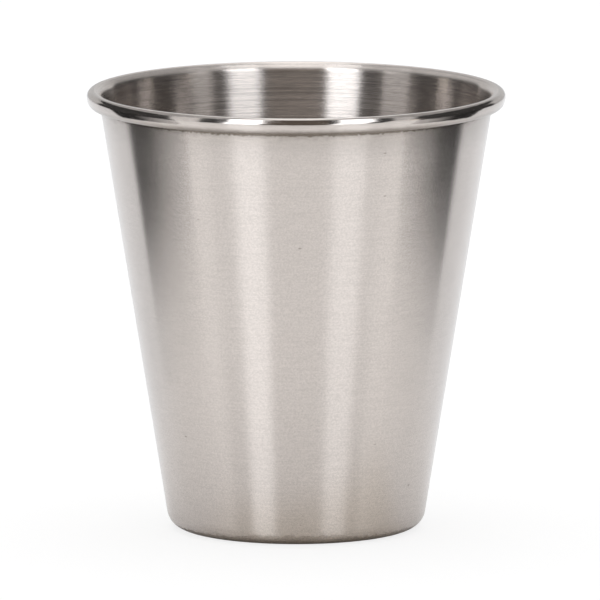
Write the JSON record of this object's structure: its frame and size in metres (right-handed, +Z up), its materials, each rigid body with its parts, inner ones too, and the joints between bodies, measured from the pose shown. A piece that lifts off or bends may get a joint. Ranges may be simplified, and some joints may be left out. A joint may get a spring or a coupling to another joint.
{
  "type": "metal shot glass",
  "caption": "Tapered stainless steel shot cup with a brushed wall, a rolled polished rim and a pressed base with a foot ring, for serving a short drink.",
  "frame": {"origin": "on the table, under the middle of the foot", "axes": "+Z up along the axis of the cup, towards its mouth; the cup is round, so +X and +Y are free, and the picture looks along +Y"},
  "size_m": [0.0512, 0.0512, 0.054],
  "materials": {
    "satin_steel": "satin, turned round the axis",
    "brushed_steel": "fine brushing round the axis outside, smooth drawn satin inside",
    "polished_steel": "polished"
  },
  "bodies": {
    "root": {"drawn_base": "satin_steel", "tapered_wall": "brushed_steel", "rolled_rim": "polished_steel"}
  },
  "joints": []
}
